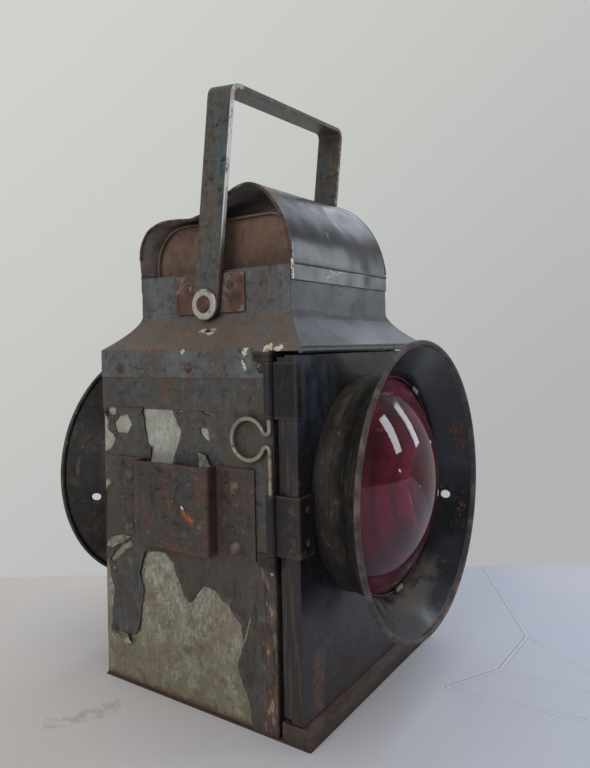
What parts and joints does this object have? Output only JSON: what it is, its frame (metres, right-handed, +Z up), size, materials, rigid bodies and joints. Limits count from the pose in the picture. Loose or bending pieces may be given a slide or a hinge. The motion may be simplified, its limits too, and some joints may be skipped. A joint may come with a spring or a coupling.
{
  "type": "railway signal lamp",
  "caption": "Square sheet steel oil lamp with hooded bullseye lenses front and back, a vented arched top, a strap bail and a lamp iron socket.",
  "frame": {"origin": "centre of the base, on the surface the lamp stands on", "axes": "+Z up, the front red lens looks along -Y, the lamp iron socket is on the -X side"},
  "size_m": [0.2, 0.261, 0.4283],
  "materials": {
    "body_paint": "worn dull dark paint over galvanised steel",
    "gloss_paint": "scratched blue-black gloss paint",
    "hood_paint": "scuffed black paint with rust",
    "rusty_steel": "black paint mostly gone to brown rust",
    "bail_paint": "grey-green worn paint, rusty edges",
    "bare_steel": "bare steel, dulled",
    "red_glass": "deep red pressed glass",
    "clear_glass": "clear pressed glass, dusty",
    "tinned_steel": "tinned steel, oily brown",
    "brass": "tarnished brass",
    "cotton": "woven cotton, charred at the top"
  },
  "bodies": {
    "case": {"base_tray": "body_paint", "case_shell": "body_paint", "front_frame": "body_paint", "upper_band": "body_paint", "roof_shell": "body_paint", "canopy": "gloss_paint", "vent_drum": "rusty_steel", "smoke_baffle": "rusty_steel", "bail_plates": "rusty_steel", "bail_plate_rivets": "rusty_steel", "pivot_bolts": "rusty_steel", "pivot_washers": "bare_steel", "pivot_nuts": "rusty_steel", "skirt_rivets": "rusty_steel", "case_rivets": "rusty_steel", "lamp_iron_socket": "rusty_steel", "socket_backing": "body_paint", "socket_rivets": "rusty_steel", "hinge_pin": "bare_steel", "hinge_lugs": "rusty_steel", "catch_spring": "rusty_steel", "back_collar": "hood_paint", "back_hood": "hood_paint", "back_lens": "clear_glass", "back_lens_seat": "hood_paint", "back_lens_clips": "bare_steel", "back_lens_screws": "bare_steel", "tank_rails": "rusty_steel", "oil_tank": "tinned_steel", "filler_neck": "brass", "burner_body": "brass", "wick_tube": "brass", "air_plate": "brass", "burner_cone": "brass"},
    "door": {"door_skin": "gloss_paint", "door_frame": "gloss_paint", "upper_hinge_strap": "rusty_steel", "lower_hinge_strap": "rusty_steel", "strap_rivets": "rusty_steel", "door_tab": "rusty_steel", "front_collar": "hood_paint", "front_hood": "hood_paint", "front_lens": "red_glass", "front_lens_seat": "hood_paint", "front_lens_clips": "bare_steel", "front_lens_screws": "bare_steel"},
    "bail": {"bail": "bail_paint"},
    "filler_cap": {"filler_cap": "brass"},
    "wick": {"wick": "cotton"},
    "wick_spindle": {"wick_spindle": "brass", "wick_knob": "brass"}
  },
  "joints": [
    {"name": "door_hinge", "type": "hinge", "parent": "case", "child": "door", "pos_m": [-0.0926, -0.0668, 0.15], "axis": [0, 0, 1], "range_deg": [-150, 0]},
    {"name": "bail_swing", "type": "hinge", "parent": "case", "child": "bail", "pos_m": [0, 0, 0.2703], "axis": [1, 0, 0], "range_deg": [-96, 83]},
    {"name": "filler_cap_turn", "type": "hinge", "parent": "case", "child": "filler_cap", "pos_m": [-0.034, -0.022, 0.07], "axis": [0, 0, 1], "range_deg": [0, 720]},
    {"name": "wick_spindle_turn", "type": "hinge", "parent": "case", "child": "wick_spindle", "pos_m": [0, -0.00585, 0.088], "axis": [1, 0, 0], "range_deg": [-110, 130]},
    {"name": "wick_lift", "type": "slide", "parent": "case", "child": "wick", "axis": [0, 0, 1], "range_m": [-0.0085, 0.01]}
  ],
  "couplings": [
    {"joint": "wick_lift", "follows": "wick_spindle_turn", "m_per_rad": 0.0042}
  ]
}
